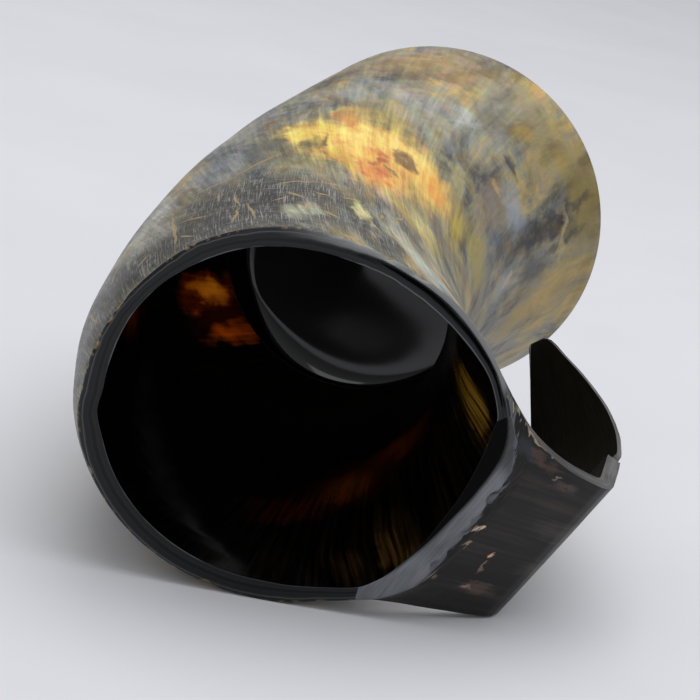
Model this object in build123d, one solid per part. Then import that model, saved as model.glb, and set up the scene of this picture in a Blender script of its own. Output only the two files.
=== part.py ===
import os
from math import cos, radians, sin, sqrt, tan

from build123d import *

# Size of the cup, millimetres
cup_height = 127.0
base_radius_x = 40.2
base_radius_y = 41.7
belly_radius_x = 35.6
belly_radius_y = 42.5
mouth_radius_x = 40.0
mouth_radius_y = 38.3
wall = 3.7

# Curve of the horn: sideways shift of the mouth and of the belly, slope of the mouth in degrees
mouth_shift_x = 5.9
mouth_shift_y = -1.3
belly_shift_x = -13.0
belly_shift_y = -9.4
mouth_tilt = 17.3
mouth_lean = 3.6
over_length = 0.08

# Strap handle seen from the side: out over the rim, a bend, then down and in to the tip
strap_thick = 3.6
strap_sink = 0.7
strap_embed = 6.1
strap_slope = 45.0
strap_out = 16.2
bend_radius = 5.0
strap_drop = 8.0
strap_fall = 71.0
strap_inward = 23.3
bend_bow = 0.6

# Strap handle seen from outside: distance of its two edges from the middle plane
flare_rise = 7.5
flare_width = 31.0
root_rise = 3.0
root_far = 26.5
root_near = 25.0
bend_far = 16.8
bend_near = 20.0
middle_far = 14.5
middle_near = 11.5
nose_far = 9.5
nose_near = 4.0
nose_shift = 3.4
nose_margin = 1.5

# Bottom of the cup
disc_thick = 6.0
disc_step = 1.2
fit_gap = 0.3
seal_depth = 8.0
meniscus_height = 5.0
meniscus_radius = 4.5
seal_skin = 0.7


def blend(start, middle, end, u):
    """Quadratic through three values at u = 0, 0.5 and 1."""
    return start * (1 - u) * (1 - 2 * u) + middle * 4 * u * (1 - u) + end * u * (2 * u - 1)


def station(u):
    """Plane across the horn, from the base at 0 to the mouth at 1."""
    tilt = radians(mouth_tilt * u)
    lean = radians(mouth_lean * u)
    middle = (
        blend(0, mouth_shift_x / 2 + belly_shift_x, mouth_shift_x, u),
        blend(0, mouth_shift_y / 2 + belly_shift_y, mouth_shift_y, u),
        cup_height * u,
    )
    return Plane(
        origin=middle,
        x_dir=(cos(tilt), 0, -sin(tilt)),
        z_dir=(sin(tilt) * cos(lean), sin(lean), cos(tilt) * cos(lean)),
    )


def horn_solid(inset, first, last, count=8):
    """Curved oval horn between two stations, its outline drawn in by an inset."""
    faces = []
    for i in range(count):
        u = first + (last - first) * i / (count - 1)
        across = blend(base_radius_x, belly_radius_x, mouth_radius_x, u) - inset
        along = blend(base_radius_y, belly_radius_y, mouth_radius_y, u) - inset
        faces.append((station(u) * Ellipse(across, along)).face())
    return loft(faces)


def slab(solid, low, high):
    """Part of a solid between two heights."""
    upper = split(solid, Plane.XY.offset(low), keep=Keep.TOP)
    return split(upper, Plane.XY.offset(high), keep=Keep.BOTTOM)


# Places on the strap's middle line, in the plane of the handle
rim_x = mouth_shift_x + mouth_radius_x * cos(radians(mouth_tilt))
rim_z = cup_height - mouth_radius_x * sin(radians(mouth_tilt))
slope = tan(radians(strap_slope))
root_x = rim_x - strap_embed
root_z = rim_z - strap_sink + strap_embed * slope
bend_x = rim_x + strap_out
bend_z = rim_z - strap_sink - strap_out * slope
tip_x = bend_x - strap_inward
tip_z = bend_z - strap_fall


def strap_profile(across):
    """Bent strip in a plane parallel to the handle's middle plane."""
    share = 1 - sqrt(1 - (across / mouth_radius_y) ** 2)
    root = (root_x - mouth_radius_x * share, root_z)
    bend = (bend_x - bend_bow * share, bend_z)
    start = (bend[0], bend[1] - strap_drop)
    path = FilletPolyline(root, bend, start, radius=bend_radius)
    path += TangentArc(start, (tip_x, tip_z), tangent=(0, -1))
    return (Plane.XZ.offset(-across) * trace(path, strap_thick)).face()


# Strap handle: bent strip trimmed to a tongue that narrows to a round nose
strip = loft([strap_profile(flare_width * k / 4) for k in range(-4, 5)])
middle_z = (bend_z + tip_z) / 2
nose_z = (middle_z + 2 * tip_z) / 3
outline = Spline(
    (flare_width, rim_z + flare_rise),
    (root_far, rim_z + root_rise),
    (bend_far, bend_z),
    (middle_far, middle_z),
    (nose_far, nose_z),
    (nose_shift, tip_z + nose_margin),
    (-nose_near, nose_z),
    (-middle_near, middle_z),
    (-bend_near, bend_z),
    (-root_near, rim_z + root_rise),
    (-flare_width, rim_z + flare_rise),
)
tongue = extrude(Plane.YZ * make_face([outline, Line(outline @ 1, outline @ 0)]), 2 * cup_height)
strap = strip & tongue

# Horn body: curved tube with the strap growing out of its wall, mouth ground flat
tube = horn_solid(0, 0, 1 + over_length) + strap
tube -= horn_solid(wall, -over_length, 1 + 2 * over_length)
horn_body = split(tube, station(1), keep=Keep.BOTTOM)
horn_body -= slab(horn_solid(wall - disc_step, -over_length, over_length), 0, disc_thick)

# Base disc: oval plug seated in the step at the foot of the wall
base_disc = slab(horn_solid(wall - disc_step + fit_gap, -over_length, over_length), 0, disc_thick)

# Floor seal: poured layer on the disc, hollowed to a ring up the wall
floor_level = disc_thick + seal_depth
seal_top = floor_level + meniscus_height
poured = slab(horn_solid(wall + fit_gap, -over_length, 3 * over_length), disc_thick, seal_top)
dish = slab(horn_solid(wall + fit_gap + seal_skin, -over_length, 3 * over_length), floor_level, cup_height)
dish = fillet(dish.faces().sort_by(Axis.Z)[0].edges(), meniscus_radius)
floor_seal = poured - dish

os.makedirs("parts", exist_ok=True)
for name, shape in (("horn_body", horn_body), ("base_disc", base_disc), ("floor_seal", floor_seal)):
    export_step(shape, f"parts/{name}.step")
    print(name, len(shape.solids()), round(shape.volume), shape.is_valid)
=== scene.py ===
from math import atan2, cos, degrees, pi, radians, sin, sqrt, tan

import bmesh
import bpy
from mathutils import Matrix, Vector, noise


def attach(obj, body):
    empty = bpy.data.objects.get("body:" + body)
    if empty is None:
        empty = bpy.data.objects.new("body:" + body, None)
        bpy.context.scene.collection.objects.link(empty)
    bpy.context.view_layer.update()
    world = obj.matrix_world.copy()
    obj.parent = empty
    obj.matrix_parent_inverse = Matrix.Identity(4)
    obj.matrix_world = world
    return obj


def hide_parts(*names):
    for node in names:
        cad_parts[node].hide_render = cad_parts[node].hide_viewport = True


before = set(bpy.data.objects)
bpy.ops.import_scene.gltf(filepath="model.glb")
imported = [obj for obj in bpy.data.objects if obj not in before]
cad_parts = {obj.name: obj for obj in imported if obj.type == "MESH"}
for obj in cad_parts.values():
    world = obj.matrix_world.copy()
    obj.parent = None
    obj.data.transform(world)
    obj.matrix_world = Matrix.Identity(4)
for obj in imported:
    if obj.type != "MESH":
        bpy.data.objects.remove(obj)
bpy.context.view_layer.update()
mm = 0.001
hornIor = 1.54     # keratin
flatRadius = 40.0  # the horn's skin is laid out flat at this radius, millimetres
print("frame loaded:", sorted(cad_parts))


def linear(code):  # sRGB hex to the linear colour that nodes take
    parts = [int(code[i:i + 2], 16) / 255 for i in (1, 3, 5)]
    return [p / 12.92 if p <= 0.04045 else ((p + 0.055) / 1.055) ** 2.4 for p in parts] + [1.0]


def add(tree, kind, inputs=(), **settings):  # one node: sockets by name or in their order, then its settings
    made = tree.nodes.new("ShaderNode" + kind)
    for name, value in settings.items():
        setattr(made, name, value)
    for name, value in inputs.items() if isinstance(inputs, dict) else enumerate(inputs):
        if isinstance(value, bpy.types.Node):
            value = next(s for s in value.outputs if s.enabled)  # its first output in use
        if isinstance(value, bpy.types.NodeSocket):
            tree.links.new(value, made.inputs[name])
        else:
            made.inputs[name].default_value = value
    return made


def shades(ramp, stops):  # colour stops of a ramp
    for i, (place, code) in enumerate(stops):
        stop = ramp.color_ramp.elements[i] if i < 2 else ramp.color_ramp.elements.new(place)
        stop.position = place
        stop.color = linear(code)
    return ramp


def startMaterial(name):
    material = bpy.data.materials.new(name)
    material.use_nodes = True
    material.node_tree.nodes.clear()
    return material, material.node_tree


def startHorn(name):  # a material with the fibre coordinates and the flat layout
    material, tree = startMaterial(name)
    grain = add(tree, "Attribute", attribute_name="grain").outputs["Vector"]
    return material, tree, grain, add(tree, "UVMap", uv_map="layout")


def endMaterial(material, look):  # its shader and output
    tree = material.node_tree
    add(tree, "OutputMaterial", {"Surface": add(tree, "BsdfPrincipled", look)})
    return material


def asPiece(bm, name):  # an object made from the finished bmesh
    mesh = bpy.data.meshes.new(name)
    bm.to_mesh(mesh)
    bm.free()
    piece = bpy.data.objects.new(name, mesh)
    bpy.context.scene.collection.objects.link(piece)
    return piece


def addSmoothing(piece, levels):
    smoothing = piece.modifiers.new("smoothing", "SUBSURF")
    smoothing.levels = levels
    smoothing.render_levels = levels


# Order of the finishes on the horn
finish = {name: i for i, name in enumerate(
    ("outside", "inside", "rim", "strapFace", "fold", "strapEdge", "strapUnder"))}

# The horn: the same curve as the CAD node, millimetres and degrees, values at base, belly and mouth
horn = {
    "height": 127.0,
    "radiusX": (40.2, 35.6, 40.0),
    "radiusY": (41.7, 42.5, 38.3),
    "shiftX": (0.0, -10.05, 5.9),
    "shiftY": (0.0, -10.05, -1.3),
    "mouthTilt": 17.3,
    "mouthLean": 3.6,
    "wall": 3.7,
    "plugStep": 1.2,
    "plugThick": 6.0,
    "columns": 72,
    # rows of faces at shares of the height: at the foot, then how many even ones between which two
    "footRows": (0.006, 0.03),
    "rowsOutside": (22, 0.03, 0.94),
    "rowsInside": (18, 0.97, 0.05),
    "firstInside": 0.993,
    "underRim": (4.6, 3.0, 1.5, 0.0),        # rows below the rim, mm; the strap grows out of the last three
    "rimRows": (0.28, 0.45, 0.65, 1.0),      # across the rim, shares of the wall; the second is the groove
    "rimCrease": 0.55,
    "grooveDepth": 1.5,                      # split between the lips of the rim, beside the strap
    "grooveTurn": (40.0, 52.0, 82.0, 112.0),
    "rimRound": 0.65,                        # how far both edges of the rim are worn down
    "rimRoundTurn": (62.0, 84.0),            # degrees from the strap where that starts and is full
    "twist": (0.14, 0.2, 40.0),              # lean of the fibres: least, gain, side of the least
    # hand-cut lip: degrees round the mouth, then how far its outer and inner edge leave the oval
    "lip": [
        (-150, 0.0, 0.0), (-140, 0.2, -0.7), (-155, -0.7, -1.0), (-170, -0.9, -0.8), (-185, -0.7, 0.1),
        (-198, -0.3, 0.6), (-212, 0.8, 0.8), (-226, 1.0, 1.1), (-241, 1.0, 0.6), (-256, 0.0, 0.1),
        (-271, -0.2, 0.0), (-285, 0.6, 0.0), (-298, 0.6, 0.5), (-308, 0.5, 1.2), (-322, 0.0, 0.0),
    ],
    "lipFrom": 0.86,             # share of the height where the lip starts to leave the oval
    "foldFrom": 0.9,             # and where the wall turns straight below the fold
    "cheekTurn": 188.0,          # the wall swells a little under the rim, on the side away from the strap
    "cheekWide": (10.0, 50.0),
    "cheekRise": (0.7, 0.9, 0.96, 1.0),
    "cheekSwell": 0.9,
    "flakeDepth": 1.1,           # flakes broken from the rim's outer edge, none beside the strap
    "flakeSizes": (2.3, 11.0),
    "flakeFree": (40.0, 55.0, 84.0, 96.0),
    "hollowDepth": 0.4,          # slight hollows from scraping
    "hollowSize": 17.0,
}

# The strap, cut from the same horn: millimetres and degrees
strap = {
    "turn": (-45.0, 55.0),
    "thick": 3.6,
    "sink": 0.7,
    "rootSink": 1.8,
    "out": 16.2,
    "bendRadius": 6.5,
    "drop": 8.0,
    "fall": 71.0,
    "inward": 23.3,
    # straight fold across the mouth: place along it, then its outer and inner edge
    "fold": [
        (-30, 24.0, 19.0), (-27, 28.4, 24.0), (-22, 35.0, 31.6), (-17, 38.6, 34.0), (-13, 39.5, 34.9),
        (-5, 39.6, 35.7), (6, 39.8, 35.4), (12, 39.6, 34.3), (17, 38.4, 33.2), (22, 34.9, 31.2),
        (26, 30.6, 26.4), (30, 26.0, 20.4), (34, 19.0, 10.0),
    ],
    # distance along the strap's middle line, then its near and far edge there
    "edges": [
        (2.3, -24.8, 22.5), (5.0, -23.4, 20.7), (9.0, -22.4, 19.1), (13.0, -21.5, 18.1),
        (17.0, -20.9, 17.7), (20.2, -20.4, 17.5), (21.8, -20.2, 17.3), (23.4, -19.9, 17.1),
        (25.0, -19.6, 16.9), (27.7, -19.0, 16.6), (30.7, -18.4, 16.3), (36.0, -17.4, 16.1),
        (39.7, -16.6, 15.95), (41.0, -16.3, 15.9), (43.0, -15.9, 15.9), (51.0, -14.2, 15.3),
        (58.6, -12.5, 14.2), (66.7, -10.4, 12.8), (75.5, -8.0, 10.9), (84.6, -5.0, 8.8), (91.4, -2.3, 7.2),
        (95.8, -0.2, 6.4), (98.4, 1.2, 5.7), (99.9, 2.2, 4.7),
    ],
    "edgeCrease": 0.45,
    "nickAlong": 40.4,
    "nickDepth": 1.5,
    "nickWide": 1.1,
    "nickReach": 2.2,
    "split": 2.2,           # a layer broke off the hidden face beside the far edge, from the nick to the tip
}


def through(values, u):  # smooth run through the values at base, belly and mouth
    start, middle, end = values
    return start * (1 - u) * (1 - 2 * u) + middle * 4 * u * (1 - u) + end * u * (2 * u - 1)


def ringAt(u, inset):  # places a unit circle as the horn's section at height share u
    tilt = radians(horn["mouthTilt"] * u)
    lean = radians(horn["mouthLean"] * u)
    xAxis = Vector((cos(tilt), 0, -sin(tilt)))
    zAxis = Vector((sin(tilt) * cos(lean), sin(lean), cos(tilt) * cos(lean)))
    yAxis = zAxis.cross(xAxis)
    xRadius = through(horn["radiusX"], u) - inset
    yRadius = through(horn["radiusY"], u) - inset
    ring = Matrix((xAxis * xRadius, yAxis * yRadius, zAxis)).transposed().to_4x4()
    ring.translation = (through(horn["shiftX"], u), through(horn["shiftY"], u), horn["height"] * u)
    return ring


def fade(value, low, high):  # 0 below low, 1 above high
    share = min(max((value - low) / (high - low), 0), 1)
    return share * share * (3 - 2 * share)


def hump(value, start, full, ebb, end):  # rises from 0 to 1, stays there, sinks to 0
    return fade(value, start, full) * (1 - fade(value, ebb, end))


def reading(table, place, item):  # straight run between the lines of a table
    rows = sorted(table)
    for low, high in zip(rows, rows[1:]):
        if place <= high[0]:
            break
    share = min(max((place - low[0]) / (high[0] - low[0]), 0), 1)
    return low[item] + (high[item] - low[item]) * share


def inWall(table, place, inner):  # between the outer and the inner edge of a table
    return reading(table, place, 1) * (1 - inner) + reading(table, place, 2) * inner


def nextRing(bm, edges, fromRing, toRing):  # extrudes a ring of edges to the next section
    made = bmesh.ops.extrude_edge_only(bm, edges=edges)["geom"]
    verts = [g for g in made if isinstance(g, bmesh.types.BMVert)]
    faces = [g for g in made if isinstance(g, bmesh.types.BMFace)]
    allEdges = [g for g in made if isinstance(g, bmesh.types.BMEdge)]
    bmesh.ops.transform(bm, matrix=toRing @ fromRing.inverted(), verts=verts)
    return verts, [e for e in allEdges if all(v in verts for v in e.verts)], faces


def legPoint(across, height, distance):  # point of the strap: across it, above its middle line, along it
    legX = strap["out"]
    bend = strap["bendRadius"]
    cut = bend * tan(pi / 8)  # the first leg falls at 45 degrees
    mouth = ringAt(1, 0)
    rootX = reading(strap["fold"], across, 1) / horn["radiusX"][2]
    rootY = across / horn["radiusY"][2]
    root = mouth @ Vector((rootX, rootY, -strap["rootSink"]))
    middle = mouth @ Vector((1, 0, -strap["sink"]))
    bendX = middle.x + legX
    bendZ = middle.z - legX
    leg = legX * sqrt(2) - cut
    endX = bendX - cut / sqrt(2)
    endZ = bendZ + cut / sqrt(2)
    arc = bend * pi / 4
    straight = strap["drop"] - cut
    bow = (strap["inward"] ** 2 + (strap["fall"] - strap["drop"]) ** 2) / (2 * strap["inward"])
    if distance < leg:
        share = distance / leg
        x = root.x + (endX - root.x) * share
        z = root.z + (endZ - root.z) * share
        angle = atan2(endZ - root.z, endX - root.x) * (1 - share) - pi / 4 * share
    elif distance < leg + arc:
        angle = -pi / 4 - (distance - leg) / bend
        x = endX + bend * (-sin(angle) - sin(pi / 4))
        z = endZ + bend * (cos(angle) - cos(pi / 4))
    elif distance < leg + arc + straight:
        angle = -pi / 2
        x = bendX
        z = bendZ - cut - (distance - leg - arc)
    else:
        sweep = (distance - leg - arc - straight) / bow
        angle = -pi / 2 - sweep
        x = bendX - bow * (1 - cos(sweep))
        z = bendZ - strap["drop"] - bow * sin(sweep)
    point = Vector((x - sin(angle) * height, across, z + cos(angle) * height))
    over = (mouth.inverted() @ point).z
    if over > 0:  # ground flat with the rim
        point -= mouth.to_3x3().col[2] * over
    return point


def makeHorn():
    count = horn["columns"]
    wall = horn["wall"]
    height = horn["height"]
    bm = bmesh.new()
    col = bm.verts.layers.int.new("col")             # column round the horn
    lev = bm.verts.layers.int.new("lev")             # row below the rim that the strap grows from
    along = bm.verts.layers.float.new("along")       # mm along the horn, and on along the strap
    deep = bm.verts.layers.float.new("deep")         # mm into the wall
    rimEdge = bm.verts.layers.float.new("rimEdge")
    crease = bm.edges.layers.float.new("crease_edge")

    start = bmesh.ops.create_circle(bm, segments=count, radius=1)["verts"]
    for v in start:
        v[col] = round(degrees(atan2(v.co.y, v.co.x)) / 360 * count) % count
    firstEdges = list(bm.edges)
    ring = ringAt(0, 0)
    bmesh.ops.transform(bm, matrix=ring, verts=start)

    plugTop = horn["plugThick"] / height
    rows, low, high = horn["rowsOutside"]
    outside = list(horn["footRows"])
    outside += [low + (high - low) * (i + 1) / rows for i in range(rows)]
    outside += [1 - d / height for d in horn["underRim"]]
    rows, high, low = horn["rowsInside"]
    inside = [horn["firstInside"]]
    inside += [high - (high - low) * i / rows for i in range(rows)]
    plan = [(u, 0.0, "outside") for u in outside]  # share of the height, mm into the wall, finish
    plan += [(1.0, wall * s, "rim") for s in horn["rimRows"]]
    plan += [(u, wall, "inside") for u in inside + [plugTop]]
    plan += [(u, wall - horn["plugStep"], "inside") for u in (plugTop, 0.0)]

    first, last = (round(t / 360 * count) for t in strap["turn"])
    strapCols = [c % count for c in range(first, last + 1)]
    foldCols = strapCols[1:-3]
    strapRows = {d: n for n, d in enumerate(reversed(horn["underRim"][1:]), 1)}
    patch = []
    edges = firstEdges
    for u, inset, skin in plan:
        toRing = ringAt(u, inset)
        verts, edges, faces = nextRing(bm, edges, ring, toRing)
        ring = toRing
        for v in verts:
            v[along] = height * u
            v[deep] = inset
            v[lev] = strapRows.get(round((1 - u) * height, 2), 0) if skin == "outside" else 0
            v[rimEdge] = 1.0 if (u, inset) == (1.0, 0.0) else 0.0
        for f in faces:
            f.material_index = finish[skin]
            f.smooth = True
            if skin == "rim" and all(v[col] in foldCols for v in f.verts):
                f.material_index = finish["fold"]
            if skin == "outside" and all(v[lev] and v[col] in strapCols for v in f.verts):
                patch.append(f)
        if (u, inset) in ((1.0, 0.0), (1.0, wall)):
            for e in edges:
                e[crease] = horn["rimCrease"]
    for f in bmesh.ops.bridge_loops(bm, edges=edges + firstEdges)["faces"]:
        f.material_index = finish["rim"]
        f.smooth = True
    print("horn wall rows:", len(plan))

    # Hand-cut lip, cheek under it, groove between its two lips, and the straight fold at the strap
    mouth = ringAt(1, 0)
    axes = mouth.to_3x3()
    lipStart = min(horn["lip"])[0] + 360
    for v in bm.verts:
        share = v[along] / height
        if share > horn["cheekRise"][0]:
            angle = 360 * v[col] / count
            inner = v[deep] / wall
            outward = (axes @ Vector((cos(radians(angle)), sin(radians(angle)), 0))).normalized()
            turned = angle - 360 if angle > lipStart else angle
            v.co += outward * fade(share, horn["lipFrom"], 1) * inWall(horn["lip"], turned, inner)
            cheek = 1 - fade(abs(angle - horn["cheekTurn"]), *horn["cheekWide"])
            v.co += outward * horn["cheekSwell"] * cheek * hump(share, *horn["cheekRise"]) * (1 - inner)
            if abs(inner - horn["rimRows"][1]) < 0.01:
                v.co -= axes.col[2] * horn["grooveDepth"] * hump(angle, *horn["grooveTurn"])
            if share > 0.999 and inner in (0, 1):
                fromStrap = abs((angle - sum(strap["turn"]) / 2 + 180) % 360 - 180)
                v.co -= axes.col[2] * horn["rimRound"] * fade(fromStrap, *horn["rimRoundTurn"])
            flat = mouth.inverted() @ v.co
            across = flat.y * horn["radiusY"][2]
            if flat.x > 0 and strap["fold"][0][0] < across < strap["fold"][-1][0]:
                edge = inWall(strap["fold"], across, inner)
                xRadius = through(horn["radiusX"], share) - v[deep]
                yRadius = through(horn["radiusY"], share) - v[deep]
                oval = sqrt(max(1 - (across / yRadius) ** 2, 0)) * xRadius
                v.co += axes.col[0].normalized() * (edge - oval) * fade(share, horn["foldFrom"], 1)

    # The strap grows out of the patch under the rim, one extrusion at a time
    span = len(strapCols) - 1
    half = strap["thick"] / 2
    turnLow, turnHigh = strap["turn"]
    sideLow, sideHigh = (sin(radians(t)) for t in strap["turn"])
    before = set(bm.faces) - set(patch)
    for distance, near, far in strap["edges"]:
        split = strap["split"] * fade(distance, strap["nickAlong"] - 0.8, strap["nickAlong"] + 0.8)
        made = bmesh.ops.extrude_face_region(bm, geom=patch)["geom"]
        bmesh.ops.delete(bm, geom=[f for f in patch if f.is_valid], context="FACES_ONLY")
        patch = [g for g in made if isinstance(g, bmesh.types.BMFace)]
        for v in (g for g in made if isinstance(g, bmesh.types.BMVert)):
            place = ((v[col] - first) % count) / span
            side = sin(radians(turnLow + place * (turnHigh - turnLow)))
            share = (side - sideLow) / (sideHigh - sideLow)
            thick = strap["thick"] - split * share
            v.co = legPoint(near + (far - near) * share, half - thick / 2 * (v[lev] - 1), distance)
            v[along] = height + distance
            v[rimEdge] = 0.0
    strapFaces = [f for f in bm.faces if f not in before]
    for f in strapFaces:
        f.smooth = True
        levels = {v[lev] for v in f.verts}
        if levels == {1}:
            f.material_index = finish["strapFace"]
        elif levels == {3}:
            f.material_index = finish["strapUnder"]
        else:
            f.material_index = finish["strapEdge"]
    ends = {strapCols[0], strapCols[-1]}
    for e in bm.edges:
        levels = {v[lev] for v in e.verts}
        cols = {v[col] for v in e.verts}
        onEdge = len(cols) == 1 and cols <= ends and levels in ({1}, {3})
        if onEdge and max(v[along] for v in e.verts) > height + 1:
            e[crease] = strap["edgeCrease"]
    print("strap faces:", len(strapFaces))

    # Coordinates that follow the horn's fibres, and a flat layout for the stains
    grain = bm.verts.layers.float_vector.new("grain")
    least, gain, side = horn["twist"]
    for v in bm.verts:
        turn = 2 * pi * v[col] / count
        turn += (v[along] - height / 2) / flatRadius * (least + gain * (1 - cos(turn - radians(side))))
        reach = flatRadius - v[deep]
        if v[along] > height:
            turn = v.co.y / flatRadius
            reach = flatRadius - half * (v[lev] - 1)
        v[grain] = Vector((reach * cos(turn), reach * sin(turn), v[along])) * mm
    layout = bm.loops.layers.uv.new("layout")
    for f in bm.faces:
        turns = [(360 * l.vert[col] / count + 90) % 360 - 90 for l in f.loops]
        for l, t in zip(f.loops, turns):
            if max(turns) - t > 180:
                t += 360
            if f.material_index >= finish["strapFace"]:  # strap and fold: across and along the strap
                l[layout].uv = (l.vert.co.y * mm, (l.vert[along] - l.vert[deep]) * mm)
            else:
                l[layout].uv = (radians(t) * flatRadius * mm, l.vert[along] * mm)

    bmesh.ops.recalc_face_normals(bm, faces=bm.faces)
    piece = asPiece(bm, "hornBody")
    addSmoothing(piece, 2)
    bpy.context.view_layer.update()
    finished = bpy.data.meshes.new_from_object(piece.evaluated_get(bpy.context.evaluated_depsgraph_get()))
    piece.modifiers.clear()
    piece.data = finished

    # Hand-worked surface: slight hollows all over, flakes broken from the outer edge of the rim
    bm = bmesh.new()
    bm.from_mesh(finished)
    grain = bm.verts.layers.float_vector["grain"]
    rimEdge = bm.verts.layers.float["rimEdge"]
    deep = bm.verts.layers.float["deep"]
    worn = bm.verts.layers.float.new("worn")
    mouthAxis = axes.col[2].normalized()
    small, large = horn["flakeSizes"]
    nickEdge = reading(strap["edges"], strap["nickAlong"], 2) - strap["nickReach"]
    for v in bm.verts:
        g = v[grain] / mm
        if v[deep] < 0.01 and g.z > 3:
            v.co -= v.normal * horn["hollowDepth"] * (0.5 + 0.5 * noise.noise(g / horn["hollowSize"]))
        edge = v[rimEdge]
        if edge > 0.01:
            rough = noise.noise(Vector((g.x, g.y, 3)) / small)
            rough += 0.7 * noise.noise(Vector((g.x, g.y, 9)) / large)
            free = hump(degrees(atan2(g.y, g.x)), *horn["flakeFree"])
            flake = fade(rough, 0.2, 0.7) * (1 - free) * edge
            away = (mouth.translation - v.co).normalized()
            v.co += (away * 0.7 - mouthAxis * 0.7) * horn["flakeDepth"] * flake
            v[worn] = flake
        beyond = abs(g.z - height - strap["nickAlong"])
        if beyond < strap["nickWide"] and v.co.y > nickEdge:
            v.co.y -= strap["nickDepth"] * (1 - beyond / strap["nickWide"])
    bmesh.ops.scale(bm, vec=(mm, mm, mm), verts=bm.verts)
    bm.to_mesh(finished)
    bm.free()
    print("hornBody triangles:", sum(len(p.vertices) - 2 for p in finished.polygons))
    return piece


hornBody = makeHorn()


# Poured black seal: a dish that climbs the wall, millimetres
seal = {
    "bottom": 6.0,
    "floor": 14.0,
    "top": 19.0,
    "gap": 0.3,
    "skin": 0.1,
    "edgeRound": 0.4,
    "reach": 22.7,             # the climb up the wall starts this far in from it
    "drift": (20.1, -124.0),   # its flat middle lies off centre: mm, degrees
    "tilt": (2.6, -139.0),     # its edge climbs higher on one side: mm, degrees
    "level": (2.8, -79.0),     # its floor set out of level: mm, degrees
    "lever": 40.0,             # distance from the middle at which tilt and level are measured
    "tiltFrom": (9.0, 12.5),   # heights between which the tilt takes hold
    "hollow": (0.5, 9.0),      # the floor sinks by the first over the second, mm
    "columns": 96,
    "climbRows": 14,
    "hollowRows": (0.1, 0.3, 0.55, 0.8, 1.0),
}


def makeSeal():
    bm = bmesh.new()
    start = bmesh.ops.create_circle(bm, segments=seal["columns"], radius=1)["verts"]
    outer = horn["wall"] + seal["gap"]
    lip = outer + seal["skin"]
    height = horn["height"]
    floor, top, reach = seal["floor"], seal["top"], seal["reach"]
    ring = ringAt(seal["bottom"] / height, outer)
    bmesh.ops.transform(bm, matrix=ring, verts=start)
    firstEdges = list(bm.edges)
    edges = firstEdges
    # height, and mm in from the horn's outside
    plan = [(seal["bottom"] + 1, outer), (top - seal["edgeRound"], outer), (top, lip)]
    turns = [pi / 2 * (i + 1) / seal["climbRows"] for i in range(seal["climbRows"])]
    plan += [(floor + (top - floor) * (1 - sin(t)), lip + reach * (1 - cos(t))) for t in turns]
    sink, sinkReach = seal["hollow"]
    plan += [(floor - sink * s, lip + reach + sinkReach * s) for s in seal["hollowRows"]]
    drift, side = seal["drift"]
    driftWay = Vector((cos(radians(side)), sin(radians(side)), 0)) * drift
    settled = bm.verts.layers.float.new("settled")
    for z, inset in plan:
        toRing = ringAt(z / height, inset)
        share = min(max((inset - lip) / reach, 0), 1)
        toRing.translation += driftWay * share
        verts, edges, _ = nextRing(bm, edges, ring, toRing)
        ring = toRing
        for v in verts:
            v[settled] = sqrt(1 - (1 - share) ** 2)
    bmesh.ops.contextual_create(bm, geom=edges)
    bmesh.ops.contextual_create(bm, geom=firstEdges)
    for v in bm.verts:
        shares = {"tilt": fade(v.co.z, *seal["tiltFrom"]), "level": v[settled]}
        for name in shares:
            rise, side = seal[name]
            toSide = v.co.x * cos(radians(side)) + v.co.y * sin(radians(side))
            v.co.z += rise * toSide / seal["lever"] * shares[name]
        v.co.z = max(v.co.z, seal["bottom"])  # sits on the plug
    for f in bm.faces:
        f.smooth = True
    bmesh.ops.recalc_face_normals(bm, faces=bm.faces)
    bmesh.ops.scale(bm, vec=(mm, mm, mm), verts=bm.verts)
    piece = asPiece(bm, "floorSeal")
    addSmoothing(piece, 1)
    print("floorSeal faces:", len(piece.data.polygons))
    return piece


floorSeal = makeSeal()

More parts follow.
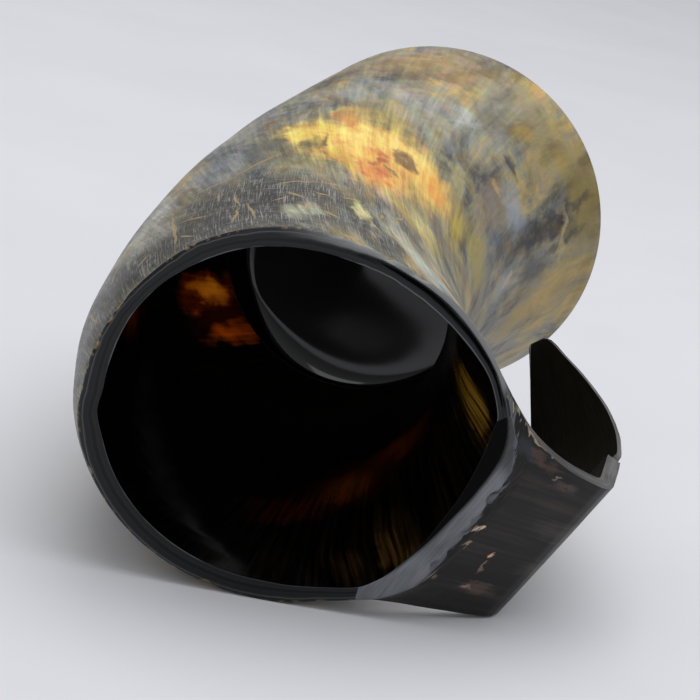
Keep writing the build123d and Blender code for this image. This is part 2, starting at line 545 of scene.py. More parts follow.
# Stains on the outside, a few of them painted sheen and highlights: degrees round the horn, mm from the
# base, half length and half width in mm, lean in degrees, colour, strength, softness
outsideStainsAndPaintedLight = [
    # tan and ochre round the base
    (118, 14, 30, 18, 15, "#bb9858", 0.65, 1.6), (152, 14, 24, 15, 20, "#a69a80", 0.6, 1.6),
    (70, 13, 24, 18, 0, "#94803e", 0.5, 1.6), (18, 14, 26, 17, 100, "#a58b46", 0.55, 1.6),
    (-40, 15, 40, 16, 0, "#8f7a45", 0.6, 1.6), (240, 12, 40, 15, 0, "#9a8456", 0.6, 1.6),
    (195, 15, 26, 16, 0, "#8a7a55", 0.6, 1.6), (250, 72, 34, 14, 96, "#857348", 0.6, 1.5),
    (-20, 62, 26, 12, 96, "#757a7c", 0.6, 1.5), (215, 48, 22, 8, 110, "#a08a50", 0.6, 1.5),
    (-62, 92, 20, 9, 95, "#6d6248", 0.6, 1.5), (74, 19, 6, 4, 100, "#a5873c", 0.7, 1.4),
    (62, 10, 6, 4, 90, "#9d8442", 0.6, 1.4), (46, 5, 20, 11, 0, "#8c7c48", 0.85, 1.3),
    (86, 21, 24, 9, 100, "#8f8b74", 0.75, 1.5), (12, 24, 10, 5, 100, "#a68a45", 0.7, 1.4),
    (104, 18, 10, 5, 100, "#b3905a", 0.6, 1.4),
    # grey middle with blue and lavender clouds
    # the pale grey stain at 160 degrees, 45 mm up, is painted sheen on that side
    (102, 42, 30, 18, 0, "#9a988c", 0.6, 1.7), (160, 45, 36, 18, 105, "#a5a49a", 0.65, 1.6),
    (150, 60, 20, 14, 105, "#7c7d7e", 0.6, 1.6), (52, 35, 11, 8, 20, "#9ba4aa", 0.75, 1.6),
    (75, 29, 10, 5, 100, "#8d9390", 0.6, 1.5), (88, 33, 7, 5.4, 90, "#b0b3aa", 0.75, 1.5),
    (30, 25, 10, 6, 95, "#3f4348", 0.75, 1.5), (28, 39, 8, 5, 110, "#949da2", 0.7, 1.4),
    (58, 46, 14, 9, 100, "#80756f", 0.75, 1.5), (40, 27, 21, 4.0, 97, "#1f2024", 0.9, 1.4),
    (47, 8, 9, 1.6, 100, "#3f3e34", 0.7, 1.3), (35.5, 14, 13, 1.8, 97, "#2e2f2b", 0.7, 1.3),
    (38, 14, 10, 1.5, 5, "#bba878", 0.6, 1.4), (66, 30, 4, 3.0, 0, "#303136", 0.8, 1.2),
    (61.5, 40, 4.4, 3, 0, "#bf9d63", 0.9, 1.2), (29, 37, 4, 2.2, 140, "#bda78a", 0.85, 1.2),
    (98, 43, 3, 2.2, 0, "#94784c", 0.7, 1.3), (89, 47.5, 3, 2.2, 90, "#94784c", 0.7, 1.3),
    (71, 57, 16, 4, 103, "#a39b6c", 0.75, 1.4), (141, 60, 6, 2.4, 105, "#75582c", 0.8, 1.3),
    # olive and yellow round the amber
    (102, 74, 36, 31, 0, "#a89850", 0.75, 1.5), (106, 56, 16, 12, 110, "#b39848", 0.65, 1.6),
    (63, 72, 15, 4.6, 100, "#ab953a", 0.9, 1.4), (52, 64, 12, 9, 30, "#a89a50", 0.75, 1.5),
    (42, 60, 12, 7, 60, "#a09048", 0.75, 1.5), (48, 80, 7, 3.6, 95, "#875636", 0.6, 1.5),
    # the blue-grey cloud at 146 degrees is partly the horn's own colour, partly painted sheen
    (146, 84, 20, 12, 105, "#7e8184", 0.7, 1.5), (126, 89, 16, 6, 8, "#7d7a58", 0.75, 1.5),
    (72, 88, 11, 6, 110, "#5c534c", 0.75, 1.4),
    # amber
    (101, 74, 28, 20, 0, "#e6bc60", 1.0, 1.1), (124, 71, 12, 9.6, 110, "#e6c258", 0.95, 1.2),
    (97, 86, 16, 12, 95, "#dfa44e", 0.95, 1.2), (110, 84, 10, 6, 120, "#d9ae48", 0.9, 1.2),
    # the pale yellow spots at 92 and 108 degrees, 66 to 69 mm up, are painted highlights
    (79, 71, 12.5, 11, 90, "#ecb656", 0.95, 1.3), (92, 66, 12, 6, 170, "#f6d676", 0.85, 1.4),
    (108, 69, 11, 7, 110, "#f6d674", 0.85, 1.4), (103, 79, 8, 6, 110, "#eebf5c", 0.7, 1.5),
    (114, 61, 15, 3.2, 116, "#dc9240", 0.85, 1.4), (117, 54, 10, 5, 110, "#b89c52", 0.75, 1.5),
    (97, 86, 9, 7, 90, "#de8638", 0.8, 1.5), (77, 73, 7, 4, 95, "#ea9440", 0.7, 1.5),
    (99.5, 75.5, 4.4, 3, 90, "#b85c30", 0.85, 1.3), (97.5, 79.5, 3.2, 2.4, 60, "#a84626", 0.8, 1.2),
    (94.5, 84, 3, 1.7, 90, "#c4683a", 0.75, 1.2), (92, 88, 3.2, 2.2, 110, "#c86c34", 0.75, 1.3),
    (101, 89, 2.6, 1.9, 90, "#c86a36", 0.7, 1.3), (98, 92, 3, 2, 20, "#c4702f", 0.7, 1.3),
    (103, 83, 2.2, 1.6, 40, "#cf7f3c", 0.7, 1.3), (93, 81.5, 2.6, 1.4, 160, "#6a6640", 0.8, 1.2),
    (121, 78.5, 6, 3.6, 100, "#45452a", 0.8, 1.3), (131, 74, 7, 3.2, 100, "#3f3f38", 0.8, 1.3),
    (134, 81, 15, 8, 105, "#45464a", 0.75, 1.5), (117, 76, 7, 1.3, 95, "#6b5a2c", 0.8, 1.2),
    (90.3, 71.5, 6.6, 3.2, 92, "#86683c", 1.0, 1.0),
    # charcoal under it, cream and tan streaks beside the rim
    (134, 111, 40, 25, 8, "#1f2023", 0.95, 1.3), (182, 114, 26, 17, 0, "#525354", 0.8, 1.5),
    (158, 122, 44, 14, 0, "#26272a", 0.9, 1.4), (202, 121, 36, 13, 0, "#404141", 0.85, 1.4),
    # the pale stain at 166 degrees, 96 mm up, is painted sheen
    (166, 96, 28, 12, 105, "#abaa9e", 0.75, 1.5), (80, 105, 19, 17, 100, "#807d70", 0.75, 1.5),
    (78, 99, 13, 7, 120, "#c6b56c", 0.85, 1.4), (87, 97, 11, 4.4, 130, "#b59b50", 0.85, 1.4),
    (101, 110, 6, 2.6, 100, "#d0c98e", 0.95, 1.2), (87, 114, 13, 7, 100, "#b9baa4", 0.65, 1.5),
    (120, 117, 9, 4.4, 60, "#b0b196", 0.8, 1.5), (73, 115, 10, 4, 130, "#c6ab82", 0.65, 1.4),
    (80, 121, 10, 3.8, 110, "#a9b3b8", 0.6, 1.4), (66, 106, 12, 6, 120, "#98a096", 0.6, 1.5),
    (85, 107, 13, 4, 112, "#34353a", 0.75, 1.3), (94, 119, 11, 4.6, 100, "#2b2c30", 0.8, 1.3),
    (71, 121, 9, 3.4, 112, "#3c3f44", 0.75, 1.3), (61, 112, 10, 3, 108, "#55564e", 0.7, 1.4),
]

# Scratches and flakes near the rim: degrees, mm, half length, half width, lean
scratches = [
    (149.4, 111.9, 4.8, 0.34, 155), (155.4, 113.3, 12, 0.42, 96), (137.2, 108.7, 5.0, 0.36, 100),
    (137.4, 117.7, 5.0, 0.42, 78), (132.8, 116.8, 6.2, 0.4, 99), (120, 101.5, 5.2, 0.36, 18),
    (110.2, 99.9, 3.4, 0.34, 3), (147, 95.9, 4.8, 0.34, 12), (133.2, 88.8, 8.8, 0.34, 50),
    (165, 119.6, 2.2, 0.42, 31), (120.2, 108.7, 3.2, 0.34, 152), (118, 114.4, 2.4, 0.7, 45),
    (111.4, 115.4, 2.2, 0.6, 150), (107.2, 124.4, 2.2, 0.7, 0), (77.2, 117.3, 6.0, 0.36, 136),
    (98.4, 113.2, 5.2, 0.34, 123), (86.8, 96.8, 8.4, 0.34, 121), (68.4, 112.3, 4.2, 0.36, 168),
    (176, 112, 6.0, 0.36, 70), (188, 118, 7.0, 0.38, 110), (90.5, 105.6, 1.8, 0.5, 30),
    (84.2, 109.4, 2.2, 0.46, 140), (95.4, 106.8, 1.6, 0.44, 95), (88.6, 102.4, 2.0, 0.5, 60),
    (80.4, 106.2, 2.4, 0.5, 120), (75.2, 111.0, 2.0, 0.46, 150), (92.3, 113.8, 1.7, 0.5, 20),
    (99.0, 118.6, 1.8, 0.46, 110), (82.7, 115.2, 2.4, 0.42, 128), (88.0, 120.4, 2.0, 0.46, 80),
    (104.6, 105.0, 2.6, 0.3, 10), (113.5, 106.2, 2.2, 0.3, 160), (125.0, 110.4, 2.4, 0.32, 35),
    (143.0, 104.2, 3.4, 0.3, 100), (151.0, 120.6, 3.0, 0.34, 130),
]

# Painted glow: places where light shows brown and gold through the wall, seen from the inside
insideGlowSpots = [
    (241, 27, 15, 9, 116, "#360c03", 0.9, 1.6), (228, 31, 18, 6.2, 117, "#8f3006", 1.0, 1.7),
    (229, 30, 12, 3.8, 117, "#f08c1c", 0.95, 1.7), (250.6, 27, 11, 5.4, 116, "#c8540a", 1.0, 1.7),
    (-46, 94, 17, 9, 10, "#3f1704", 0.85, 1.3), (-26, 92, 11, 8, 30, "#4c1e06", 0.85, 1.2),
    (-8, 88, 9, 5, 20, "#3c1405", 0.8, 1.3), (36, 113, 20, 9, 100, "#3a280c", 0.85, 1.5),
    (37, 116, 13, 6.6, 103, "#74551b", 0.95, 1.3), (-18, 119, 15, 9, 95, "#221607", 0.85, 1.5),
    (-21, 122, 9, 5, 95, "#3a2810", 0.8, 1.3), (-38, 120, 10, 6, 95, "#241608", 0.75, 1.4),
]

# Cracked places on the strap, and painted sheen near its bend: mm across, mm along, then as for the outside
strapStainsAndSheen = [
    (18.9, 128.8, 3.0, 2.4, 90, "#2c3036", 0.9, 1.2), (18.4, 131.6, 3.6, 2.0, 128, "#4f3a32", 0.75, 1.4),
    (17.0, 135.0, 2.6, 2.2, 90, "#4b372f", 0.7, 1.4), (14.8, 140, 4.6, 1.4, 83, "#4d3f38", 0.8, 1.3),
    (25.4, 127.6, 2.0, 0.8, 140, "#a69a78", 0.9, 1.0), (21.9, 130.0, 2.4, 0.6, 133, "#a99980", 0.85, 1.0),
    (20.3, 132.6, 3.6, 0.4, 108, "#a8947a", 0.8, 1.0), (15.6, 137.4, 1.5, 0.4, 70, "#8f7c68", 0.7, 1.0),
    (-13.6, 140, 7.0, 2.6, 88, "#57483e", 0.75, 1.5), (-13.9, 137.4, 1.8, 0.9, 92, "#9a806c", 0.85, 1.2),
    (-8.2, 137.0, 2.4, 0.55, -8, "#7d6859", 0.85, 1.1), (-5.1, 136.6, 0.9, 0.65, 40, "#d8a488", 1.0, 1.0),
    (0.1, 128.9, 1.0, 0.65, 30, "#ccb49c", 1.0, 1.0), (-3.9, 129.4, 1.7, 0.6, 40, "#97836f", 0.85, 1.1),
    # the broad grey-brown patches at 146 and 150 mm along, towards the bend, are painted sheen
    (-13.4, 128.6, 1.3, 0.55, 20, "#968679", 0.8, 1.1), (4, 146, 9, 4, 92, "#3d3835", 0.6, 1.6),
    (-6, 150, 8, 3, 92, "#463f39", 0.6, 1.6),
]

degreeWide = radians(1) * flatRadius * mm  # width of one degree in the flat layout


def spotAt(tree, vector, across, place, halfLength, halfWidth, lean):  # 1 in an oval's middle, 0 at its edge
    spot = add(tree, "Mapping", {
        "Vector": vector,
        "Location": (across, place * mm, 0),
        "Rotation": (0, 0, radians(lean)),
        "Scale": (halfLength * mm, halfWidth * mm, 1),
    }, vector_type="TEXTURE")
    return add(tree, "TexGradient", {"Vector": spot}, gradient_type="SPHERICAL").outputs["Fac"]


def layStains(tree, colour, stains, vector, streaks, tear, unit):
    for across, place, halfLength, halfWidth, lean, code, strength, softness in stains:
        near = spotAt(tree, vector, across * unit, place, halfLength, halfWidth, lean)
        broken = add(tree, "Math", [streaks, tear, near], operation="MULTIPLY_ADD")  # fibres tear the edge
        low = 0.05 + tear / 2
        high = low + softness * 0.6
        mask = add(tree, "MapRange", [broken, low, high, 0.0, strength], interpolation_type="SMOOTHSTEP")
        within = add(tree, "MapRange", [near, 0.0, 0.3], interpolation_type="SMOOTHSTEP")
        mask = add(tree, "Math", [mask, within], operation="MULTIPLY")
        colour = add(tree, "Mix", {0: mask, 6: colour, 7: linear(code)}, data_type="RGBA")
    return colour


def shaken(tree, vector, shake, amount):  # coordinates moved about by a noise, mm
    centred = add(tree, "VectorMath", [shake.outputs["Color"], (0.5, 0.5, 0.5)], operation="SUBTRACT")
    return add(tree, "VectorMath", [centred, [amount * mm] * 3, vector], operation="MULTIPLY_ADD")


def turnedNoise(tree, vector, turn, sizes, **settings):  # noise turned and drawn out to three sizes, mm
    stretched = add(tree, "Mapping", {
        "Vector": vector,
        "Rotation": (0, 0, radians(turn)),
        "Scale": [1 / (size * mm) for size in sizes],
    })
    return add(tree, "TexNoise", {"Vector": stretched, "Scale": 1.0, **settings})


def fibreNoise(tree, vector, wide, long, **settings):  # noise drawn out along the fibres, mm
    return turnedNoise(tree, vector, 0, (wide, wide, long), **settings)


def makeOutside():
    # Water buffalo horn, scraped and buffed: clouds of grey, ochre and amber drawn out along the fibres,
    # satin shine, scraper marks
    material, tree, grain, layout = startHorn("buffedHorn")
    worn = add(tree, "Attribute", attribute_name="worn").outputs["Fac"]
    height = add(tree, "SeparateXYZ", {"Vector": grain}).outputs["Z"]

    broad = fibreNoise(tree, grain, 4.5, 30, Detail=6.0, Roughness=0.65, Distortion=0.4)
    fine = fibreNoise(tree, grain, 1.1, 16, Detail=5.0, Roughness=0.65)
    clouds = fibreNoise(tree, grain, 12, 17, Detail=7.0, Roughness=0.65, Distortion=0.6)
    patches = fibreNoise(tree, grain, 6, 9, Detail=6.0, Roughness=0.68, Distortion=0.5)
    tone = add(tree, "Mix", {0: 0.7, 2: broad, 3: clouds})
    ground = shades(add(tree, "ValToRGB", {"Fac": tone}), [
        (0.37, "#2b2d2f"), (0.63, "#c2a25c"), (0.44, "#54534e"), (0.5, "#817c69"), (0.56, "#a0926a"),
    ])
    cool = add(tree, "MapRange", [patches, 0.5, 0.62, 0.0, 0.55], interpolation_type="SMOOTHSTEP")
    ground = add(tree, "Mix", {0: cool, 6: ground, 7: linear("#66707a")}, data_type="RGBA")
    warm = add(tree, "MapRange", [patches, 0.46, 0.36, 0.0, 0.5], interpolation_type="SMOOTHSTEP")
    ground = add(tree, "Mix", {0: warm, 6: ground, 7: linear("#9a7a34")}, data_type="RGBA")

    shake = add(tree, "TexNoise", {"Vector": grain, "Scale": 1 / (7 * mm), "Detail": 5.0, "Roughness": 0.6})
    torn = add(tree, "Mix", {0: 0.5, 2: fine, 3: patches})
    torn = add(tree, "Mix", {0: 0.4, 2: torn, 3: broad})
    turned = add(tree, "SeparateXYZ", {"Vector": layout}).outputs["X"]
    calm = add(tree, "MapRange", [turned, 36 * mm, 66 * mm, 0.3])  # smoother beside the strap
    farther = add(tree, "MapRange", [turned, 7 * mm, -14 * mm, 0.3])
    calm = add(tree, "Math", [calm, farther], operation="MAXIMUM")
    torn = add(tree, "Mix", {0: calm, 2: 0.5, 3: torn})
    wobble = shaken(tree, layout, shake, 12)
    colour = layStains(tree, ground, outsideStainsAndPaintedLight, wobble, torn, 1.2, degreeWide)

    # Mottles of a few millimetres, then fibres light and dark over everything, strongest near the mouth
    spread = add(tree, "MapRange", [patches, 0.34, 0.66, 0.1, 0.9])
    strength = add(tree, "Math", [calm, 0.4], operation="MULTIPLY")
    colour = add(tree, "Mix", {0: strength, 6: colour, 7: spread}, data_type="RGBA", blend_type="OVERLAY")
    mottles = add(tree, "TexNoise", {
        "Vector": grain, "Scale": 1 / (3.4 * mm), "Detail": 6.0, "Roughness": 0.7,
    }).outputs["Color"]
    colour = add(tree, "Mix", {0: strength, 6: colour, 7: mottles}, data_type="RGBA", blend_type="OVERLAY")
    light = add(tree, "MapRange", [fine, 0.3, 0.7, 0.05, 0.95])
    depth = add(tree, "MapRange", [height, 20 * mm, 95 * mm, 0.2, 0.6])
    depth = add(tree, "Math", [depth, calm], operation="MULTIPLY")
    colour = add(tree, "Mix", {0: depth, 6: colour, 7: light}, data_type="RGBA", blend_type="OVERLAY")

    # Scraper marks: pale hairs near the mouth, along the fibres and across them, drawn wide enough to show
    hairMask = None
    for wide, long, lean, strength in ((0.24, 3.4, 0, 0.62), (0.3, 9.0, 4, 0.6), (7.0, 0.28, -5, 0.5)):
        hairs = turnedNoise(tree, layout, lean, (wide, long, 1000), Detail=1.0)
        drawn = add(tree, "MapRange", [hairs, 0.55, 0.7, 0.0, strength])
        hairMask = add(tree, "Math", [hairMask, drawn], operation="MAXIMUM") if hairMask else drawn
    patchy = add(tree, "MapRange", [patches, 0.4, 0.58, 0.3])
    hairMask = add(tree, "Math", [hairMask, patchy], operation="MULTIPLY")
    nearMouth = add(tree, "MapRange", [height, 80 * mm, 100 * mm, 0.1])
    hairMask = add(tree, "Math", [hairMask, nearMouth], operation="MULTIPLY")
    colour = add(tree, "Mix", {0: hairMask, 6: colour, 7: linear("#b2ab9a")}, data_type="RGBA")

    # Longer tan scratches, placed one by one
    marks = None
    shiver = shaken(tree, layout, shake, 3)
    for turn, *shape in scratches:
        near = spotAt(tree, shiver, turn * degreeWide, *shape)
        marks = add(tree, "Math", [marks, near], operation="MAXIMUM") if marks else near
    scratch = add(tree, "MapRange", [marks, 0.0, 0.5, 0.0, 0.75])
    flaked = add(tree, "Math", [worn, fine], operation="MULTIPLY")
    flaked = add(tree, "MapRange", [flaked, 0.12, 0.3, 0.0, 0.8])
    scratch = add(tree, "Math", [scratch, flaked], operation="MAXIMUM")
    colour = add(tree, "Mix", {0: scratch, 6: colour, 7: linear("#ab8f60")}, data_type="RGBA")

    rough = add(tree, "MapRange", [fine, 0.3, 0.7, 0.32, 0.5])
    cut = add(tree, "Math", [hairMask, scratch], operation="MAXIMUM")
    relief = add(tree, "Math", [cut, -0.6, fine], operation="MULTIPLY_ADD")
    bump = add(tree, "Bump", {"Height": relief, "Strength": 0.35, "Distance": 0.15 * mm})
    return endMaterial(material, {
        "Base Color": colour, "Roughness": rough, "IOR": hornIor, "Specular IOR Level": 0.32, "Normal": bump,
    })


def makeInside():
    # The same horn polished inside: nearly black, wet shine, gold and brown fibres painted where light comes
    # through, and a painted glow low down
    material, tree, grain, layout = startHorn("polishedInside")
    fibres = fibreNoise(tree, grain, 0.9, 24, Detail=5.0, Roughness=0.65)
    broad = fibreNoise(tree, grain, 5, 20, Detail=4.0, Roughness=0.6)
    ground = shades(add(tree, "ValToRGB", {"Fac": fibres}), [(0.4, "#040404"), (0.8, "#130d07")])
    shake = add(tree, "TexNoise", {"Vector": grain, "Scale": 1 / (9 * mm), "Detail": 4.0})
    torn = add(tree, "Mix", {0: 0.7, 2: broad, 3: fibres})
    colour = layStains(tree, ground, insideGlowSpots, shaken(tree, layout, shake, 14), torn, 0.9, degreeWide)
    height = add(tree, "SeparateXYZ", {"Vector": grain}).outputs["Z"]
    depth = add(tree, "MapRange", [height, 60 * mm, 95 * mm, 0.0, 0.9])
    light = add(tree, "MapRange", [fibres, 0.36, 0.64])
    colour = add(tree, "Mix", {0: depth, 6: colour, 7: light}, data_type="RGBA", blend_type="OVERLAY")
    rough = add(tree, "MapRange", [broad, 0.3, 0.7, 0.1, 0.2])
    bump = add(tree, "Bump", {"Height": fibres, "Strength": 0.1, "Distance": 0.1 * mm})
    paintedGlow = add(tree, "MapRange", [height, 60 * mm, 40 * mm, 0.0, 0.18])  # painted glow: emission stands in for light coming through the thin wall low down
    return endMaterial(material, {
        "Base Color": colour, "Roughness": rough, "IOR": hornIor, "Specular IOR Level": 0.18, "Normal": bump,
        "Emission Color": colour, "Emission Strength": paintedGlow,
    })


def makeRim():
    # Sawn and polished end of the wall: charcoal with paler growth lines that run round it,
    # tan where flakes left the edge, a painted highlight on the outer lip beside the strap
    material, tree, grain, layout = startHorn("polishedRim")
    worn = add(tree, "Attribute", attribute_name="worn").outputs["Fac"]
    parts = add(tree, "SeparateXYZ", {"Vector": grain})
    level = add(tree, "CombineXYZ", [parts.outputs["X"], parts.outputs["Y"]])
    reach = add(tree, "VectorMath", [level], operation="LENGTH").outputs["Value"]
    drift = add(tree, "TexNoise", {"Vector": grain, "Scale": 1 / (22 * mm), "Detail": 3.0})
    moved = add(tree, "Math", [drift, 2.2 * mm, reach], operation="MULTIPLY_ADD")
    lines = add(tree, "TexNoise", {
        "W": moved, "Scale": 1 / (0.7 * mm), "Detail": 3.0,
    }, noise_dimensions="1D")
    colour = shades(add(tree, "ValToRGB", {"Fac": lines}), [
        (0.35, "#0b0b0c"), (0.75, "#686c72"), (0.58, "#1f2022"),
    ])
    specks = add(tree, "TexNoise", {"Vector": grain, "Scale": 1 / (1.3 * mm), "Detail": 2.0})
    outer = add(tree, "MapRange", [reach, (flatRadius - 0.7) * mm, flatRadius * mm])
    chipped = add(tree, "Math", [worn, 0.5, specks], operation="MULTIPLY_ADD")
    speckMask = add(tree, "MapRange", [chipped, 0.56, 0.66])
    speckMask = add(tree, "Math", [speckMask, outer], operation="MULTIPLY")
    mixed = add(tree, "Mix", {0: speckMask, 6: colour, 7: linear("#93794a")}, data_type="RGBA")
    # outer lip beside the strap drawn pale grey: a painted highlight
    turned = add(tree, "SeparateXYZ", {"Vector": layout}).outputs["X"]
    beside = add(tree, "MapRange", [turned, 31 * mm, 35 * mm], interpolation_type="SMOOTHSTEP")
    past = add(tree, "MapRange", [turned, 90 * mm, 72 * mm], interpolation_type="SMOOTHSTEP")
    lip = add(tree, "MapRange", [moved, (flatRadius - 0.7) * mm, (flatRadius - 0.2) * mm, 0.0, 0.8])
    paleLipHighlight = add(tree, "Math", [beside, past], operation="MULTIPLY")
    paleLipHighlight = add(tree, "Math", [paleLipHighlight, lip], operation="MULTIPLY")
    mixed = add(tree, "Mix", {0: paleLipHighlight, 6: mixed, 7: linear("#8a8b8a")}, data_type="RGBA")
    rough = add(tree, "MapRange", [lines, 0.3, 0.7, 0.18, 0.3])
    bump = add(tree, "Bump", {"Height": lines, "Strength": 0.3, "Distance": 0.15 * mm})
    return endMaterial(material, {
        "Base Color": mixed, "Roughness": rough, "IOR": hornIor, "Specular IOR Level": 0.22, "Normal": bump,
    })


def makeStrapFace():
    # Horn bent with heat: smoky brown-black, fibres along the strap, tan flakes where the fold cracked
    material, tree, grain, layout = startHorn("smokedStrap")
    place = add(tree, "SeparateXYZ", {"Vector": layout})
    fibres = fibreNoise(tree, grain, 1.0, 26, Detail=5.0, Roughness=0.65)
    smoke = fibreNoise(tree, grain, 6, 16, Detail=4.0)
    tone = add(tree, "Mix", {0: 0.4, 2: fibres, 3: smoke})
    ground = shades(add(tree, "ValToRGB", {"Fac": tone}), [
        (0.38, "#050505"), (0.66, "#302922"), (0.5, "#100f0e"),
    ])
    shake = add(tree, "TexNoise", {"Vector": grain, "Scale": 1 / (2.2 * mm), "Detail": 4.0})
    colour = layStains(tree, ground, strapStainsAndSheen, shaken(tree, layout, shake, 4), fibres, 1.8, mm)
    # ragged edge of the grey fold
    ragged = add(tree, "Math", [shake, 3.4 * mm, place.outputs["Y"]], operation="MULTIPLY_ADD")
    fold = add(tree, "MapRange", [ragged, 129.4 * mm, 129.1 * mm])
    colour = add(tree, "Mix", {0: fold, 6: colour, 7: linear("#5d6064")}, data_type="RGBA")
    rough = add(tree, "MapRange", [smoke, 0.3, 0.7, 0.26, 0.42])
    bump = add(tree, "Bump", {"Height": fibres, "Strength": 0.2, "Distance": 0.12 * mm})
    return endMaterial(material, {
        "Base Color": colour, "Roughness": rough, "IOR": hornIor, "Specular IOR Level": 0.22, "Normal": bump,
    })


def makeFold():
    # Ground flat across the fold: fine sanded grey, darker where it turns up into the wall
    material, tree = startMaterial("groundFold")
    layout = add(tree, "UVMap", uv_map="layout")
    place = add(tree, "SeparateXYZ", {"Vector": layout})
    spot = add(tree, "TexCoord").outputs["Object"]
    sanded = turnedNoise(tree, spot, 12, (0.5, 6, 2), Detail=4.0)
    cloud = add(tree, "TexNoise", {"Vector": spot, "Scale": 1 / (6 * mm), "Detail": 3.0})
    moved = add(tree, "Math", [cloud, 6 * mm, place.outputs["X"]], operation="MULTIPLY_ADD")
    share = add(tree, "MapRange", [moved, -24 * mm, 30 * mm])
    colour = shades(add(tree, "ValToRGB", {"Fac": share}), [
        (0.0, "#5d6064"), (1.0, "#2a2a2b"), (0.28, "#73767a"),
        (0.36, "#616366"), (0.7, "#72757a"), (0.78, "#47484a"),
    ])
    # the fold's inner edge runs at a slant
    slanted = add(tree, "VectorMath", [layout, (0.0706, -1, 0)], operation="DOT_PRODUCT").outputs["Value"]
    inner = add(tree, "MapRange", [slanted, -124.8 * mm, -124.2 * mm])
    colour = add(tree, "Mix", {0: inner, 6: colour, 7: linear("#050506")}, data_type="RGBA")
    shade = add(tree, "MapRange", [sanded, 0.3, 0.7, 0.25, 0.75])
    colour = add(tree, "Mix", {0: 0.5, 6: colour, 7: shade}, data_type="RGBA", blend_type="OVERLAY")
    rough = add(tree, "MapRange", [sanded, 0.3, 0.7, 0.3, 0.45])
    bump = add(tree, "Bump", {"Height": sanded, "Strength": 0.2, "Distance": 0.1 * mm})
    shine = add(tree, "MapRange", [inner, 0.0, 1.0, 0.3, 0.04])
    return endMaterial(material, {
        "Base Color": colour, "Roughness": rough, "Normal": bump,
        "IOR": hornIor, "Specular IOR Level": shine,
    })


def makeStrapPlain(name, dark, light, rough, gloss):
    # Cut edge of the strap and its hidden face: fibres in two close shades, with painted shade near the root
    material, tree = startMaterial(name)
    grain = add(tree, "Attribute", attribute_name="grain").outputs["Vector"]
    fibres = fibreNoise(tree, grain, 1.2, 20, Detail=5.0, Roughness=0.65)
    colour = shades(add(tree, "ValToRGB", {"Fac": fibres}), [(0.34, dark), (0.68, light)])
    place = add(tree, "SeparateXYZ", {"Vector": grain}).outputs["Z"]
    # painted shade: the colour darkens towards the root, where the strap meets the wall
    away = add(tree, "MapRange", [place, 138 * mm, 149 * mm, 0.3])
    colour = add(tree, "Mix", {0: away, 6: linear("#131212"), 7: colour}, data_type="RGBA")
    shine = add(tree, "MapRange", [fibres, 0.3, 0.7, rough - 0.06, rough + 0.08])
    bump = add(tree, "Bump", {"Height": fibres, "Strength": 0.2, "Distance": 0.12 * mm})
    return endMaterial(material, {
        "Base Color": colour, "Roughness": shine, "Normal": bump,
        "IOR": hornIor, "Specular IOR Level": gloss,
    })


def makeResin():
    # Poured black epoxy: wet gloss with a faint ripple
    material, tree = startMaterial("blackEpoxy")
    place = add(tree, "TexCoord").outputs["Object"]
    ripple = add(tree, "TexNoise", {"Vector": place, "Scale": 1 / (16 * mm), "Detail": 2.0})
    colour = shades(add(tree, "ValToRGB", {"Fac": ripple}), [(0.3, "#020203"), (0.8, "#07070a")])
    bump = add(tree, "Bump", {"Height": ripple, "Strength": 0.05, "Distance": 0.5 * mm})
    return endMaterial(material, {
        "Base Color": colour, "Roughness": 0.07, "IOR": 1.55, "Normal": bump,
    })


def makeWood():
    # Oiled hardwood plug, planed across the grain lines: dark brown with narrow pores
    material, tree = startMaterial("oiledHardwood")
    place = add(tree, "TexCoord").outputs["Object"]
    rings = turnedNoise(tree, place, 24, (3.2, 60, 20), Detail=6.0, Roughness=0.6, Distortion=0.5)
    pores = turnedNoise(tree, place, 24, (0.35, 5, 5), Detail=2.0)
    colour = shades(add(tree, "ValToRGB", {"Fac": rings}), [
        (0.3, "#2c1a0e"), (0.72, "#6a4526"), (0.5, "#4a2d18"),
    ])
    dark = add(tree, "MapRange", [pores, 0.6, 0.72, 0.0, 0.7])
    mixed = add(tree, "Mix", {0: dark, 6: colour, 7: linear("#1d1109")}, data_type="RGBA")
    bump = add(tree, "Bump", {"Height": pores, "Strength": 0.25, "Distance": 0.15 * mm})
    return endMaterial(material, {
        "Base Color": mixed, "Roughness": 0.45, "IOR": 1.5, "Normal": bump,
    })


for made in (
    makeOutside(), makeInside(), makeRim(), makeStrapFace(), makeFold(),
    makeStrapPlain("strapEdge", "#302e2c", "#6c6a69", 0.38, 0.3),
    makeStrapPlain("strapUnder", "#020201", "#0d0a06", 0.5, 0.08),
):
    hornBody.data.materials.append(made)
floorSeal.data.materials.append(makeResin())
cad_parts["base_disc"].data.materials.clear()
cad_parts["base_disc"].data.materials.append(makeWood())
print("materials done")

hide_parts("horn_body")
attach(hornBody, "root")
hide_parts("floor_seal")
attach(floorSeal, "root")

# The cup lies on its side: up is the direction that leads away from the floor, in the cup's own frame
stage = {
    "up": (-0.433, 0.895, -0.104),
    "floorSize": 8.0,
    "floorColour": "#dcdcdf",
    "floorShade": "#d3d3d7",
    "backgroundColour": "#d8d8dc",
    "skyLow": 0.15,
    "skyHigh": 0.9,
    "keyPower": 11.0,
    "keySize": 1.4,
    "keyPlace": (0.15, 1.25, 0.1),   # right, up and towards the camera, metres
    "fillPower": 0.17,
    "fillSize": 0.22,
    "fillPlace": (-0.17, 0.1, 0.8),
}

# The camera in the photograph: place in metres, its right, up and back directions
view = {
    "place": (0.00735, 0.18293, 0.48801),
    "right": (0.7743, 0.5741, -0.2661),
    "up": (-0.6328, 0.7056, -0.3191),
    "back": (0.0046, 0.4154, 0.9096),
    "lens": 113.14,
}


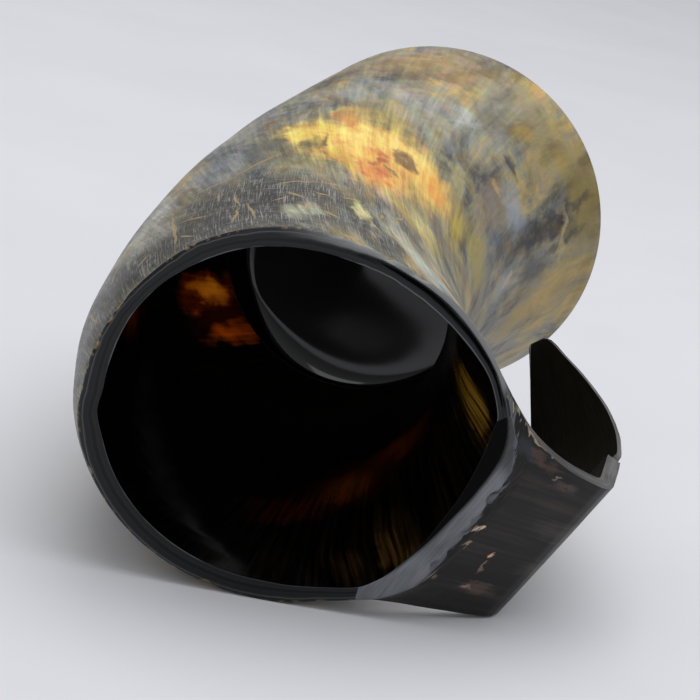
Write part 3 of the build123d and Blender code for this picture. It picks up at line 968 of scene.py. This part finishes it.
def makeStage():
    up = Vector(stage["up"]).normalized()
    lowest = min(up.dot(v.co) for v in hornBody.data.vertices)
    middle = sum((v.co for v in hornBody.data.vertices), Vector()) / len(hornBody.data.vertices)
    bm = bmesh.new()
    bmesh.ops.create_grid(bm, x_segments=4, y_segments=4, size=stage["floorSize"] / 2)
    turn = Vector((0, 0, 1)).rotation_difference(up).to_matrix().to_4x4()
    below = Matrix.Translation(middle + up * (lowest - up.dot(middle)))
    bmesh.ops.transform(bm, matrix=below @ turn, verts=bm.verts)
    floor = asPiece(bm, "floor")
    material, tree = startMaterial("paleFloor")
    place = add(tree, "TexCoord").outputs["Object"]
    mottle = add(tree, "TexNoise", {"Vector": place, "Scale": 14.0, "Detail": 4.0})
    shade, plain = linear(stage["floorShade"]), linear(stage["floorColour"])
    tint = add(tree, "Mix", {0: mottle, 6: shade, 7: plain}, data_type="RGBA")
    pale = add(tree, "BsdfDiffuse", {"Color": tint})
    clear = add(tree, "BsdfTransparent")
    behind = add(tree, "NewGeometry").outputs["Backfacing"]
    add(tree, "OutputMaterial", {"Surface": add(tree, "MixShader", [behind, pale, clear])})
    floor.data.materials.append(material)

    world = bpy.data.worlds.new("softSky")
    bpy.context.scene.world = world
    world.use_nodes = True
    tree = world.node_tree
    tree.nodes.clear()
    towards = add(tree, "TexCoord").outputs["Generated"]
    rise = add(tree, "VectorMath", [towards, tuple(up)], operation="DOT_PRODUCT")
    sky = add(tree, "MapRange", [rise.outputs["Value"], -0.1, 0.9, stage["skyLow"], stage["skyHigh"]])
    light = add(tree, "Background", {"Color": linear("#f4f6fa"), "Strength": sky})
    backdrop = add(tree, "Background", {"Color": linear(stage["backgroundColour"]), "Strength": 1.0})
    seen = add(tree, "LightPath").outputs["Is Camera Ray"]
    add(tree, "OutputWorld", {"Surface": add(tree, "MixShader", [seen, light, backdrop])})

    right = Vector(view["right"])
    back = Vector(view["back"])
    for lamp in ("key", "fill"):
        light = bpy.data.lights.new(lamp + "Panel", "AREA")
        light.energy = stage[lamp + "Power"]
        light.size = stage[lamp + "Size"]
        panel = bpy.data.objects.new(lamp + "Panel", light)
        bpy.context.scene.collection.objects.link(panel)
        place = stage[lamp + "Place"]
        away = right * place[0] + up * place[1] + back * place[2]
        facing = away.to_track_quat("Z", "Y").to_matrix().to_4x4()
        panel.matrix_world = Matrix.Translation(middle + away) @ facing


makeStage()

camera = bpy.data.cameras.new("camera")
camera.sensor_width = 36
camera.lens = view["lens"]
camera.clip_start = 0.01
cameraObject = bpy.data.objects.new("camera", camera)
bpy.context.scene.collection.objects.link(cameraObject)
cameraObject.matrix_world = Matrix.Translation(Vector(view["place"])) @ Matrix(
    (view["right"], view["up"], view["back"])).transposed().to_4x4()
bpy.context.scene.camera = cameraObject
bpy.context.scene.view_settings.view_transform = "Standard"
print("stage done")
